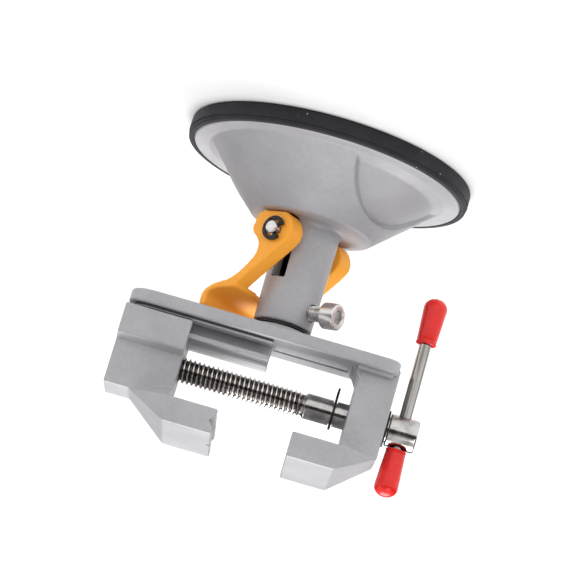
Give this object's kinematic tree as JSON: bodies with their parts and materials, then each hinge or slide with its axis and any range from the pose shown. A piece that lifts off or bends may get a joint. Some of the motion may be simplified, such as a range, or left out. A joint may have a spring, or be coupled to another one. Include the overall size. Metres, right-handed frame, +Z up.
{
  "type": "suction base mini vise",
  "caption": "Small die-cast bench vise that swivels on a suction-cup base, with a fork cam lever, a lead screw and a sliding tommy bar.",
  "frame": {"origin": "centre of the rubber cup's flat underside, on the post's axis", "axes": "+Z up along the post, +X along the lead screw from its handle towards the moving jaw"},
  "size_m": [0.0989, 0.093, 0.101],
  "materials": {
    "cast_metal": "silver satin paint over die-cast alloy",
    "cup_rubber": "matt moulded rubber",
    "bright_steel": "bright nickel plate",
    "dark_steel": "black oxide",
    "lever_plastic": "satin moulded orange plastic",
    "cap_vinyl": "dipped soft vinyl"
  },
  "bodies": {
    "base": {"base_housing": "cast_metal", "suction_cup": "cup_rubber", "return_spring": "bright_steel"},
    "lift": {"cup_plate": "bright_steel", "cup_stem": "dark_steel", "cam_pin": "bright_steel", "cam_pin_clip_near": "dark_steel", "cam_pin_clip_far": "dark_steel"},
    "lever": {"cam_lever": "lever_plastic"},
    "clamp": {"clamp_screw": "bright_steel"},
    "vise": {"swivel_spindle": "cast_metal", "swivel_washer": "dark_steel", "vise_body": "cast_metal"},
    "jaw": {"moving_jaw": "cast_metal"},
    "screw": {"lead_screw": "bright_steel", "screw_retaining_ring": "dark_steel", "thrust_washer": "dark_steel"},
    "bar": {"tommy_bar": "bright_steel", "bar_cap_upper": "cap_vinyl", "bar_cap_lower": "cap_vinyl"}
  },
  "joints": [
    {"name": "cup_lift", "type": "slide", "parent": "base", "child": "lift", "axis": [0, 0, 1], "range_m": [0, 0.003], "deforming": ["return_spring"]},
    {"name": "cam_turn", "type": "hinge", "parent": "lift", "child": "lever", "pos_m": [0, 0, 0.031], "axis": [-0.6157, 0.788, 0], "range_deg": [0, 72.2]},
    {"name": "swivel", "type": "hinge", "parent": "base", "child": "vise", "pos_m": [0, 0, 0.0578], "axis": [0, 0, 1], "continuous": true},
    {"name": "clamp_turn", "type": "hinge", "parent": "base", "child": "clamp", "pos_m": [0, 0, 0.0521], "axis": [0.8387, 0.5446, 0], "range_deg": [-360, 0]},
    {"name": "screw_spin", "type": "hinge", "parent": "vise", "child": "screw", "pos_m": [0, 0, 0.08], "axis": [1, 0, 0], "range_deg": [-1442, 5522]},
    {"name": "jaw_slide", "type": "slide", "parent": "vise", "child": "jaw", "axis": [1, 0, 0], "range_m": [-0.023, 0.006]},
    {"name": "bar_slide", "type": "slide", "parent": "screw", "child": "bar", "axis": [0, 0, 1], "range_m": [0, 0.024]}
  ],
  "couplings": [
    {"joint": "cam_turn", "follows": "cup_lift", "rad_per_m": 418.88},
    {"joint": "screw_spin", "follows": "jaw_slide", "rad_per_m": -4188.8}
  ]
}
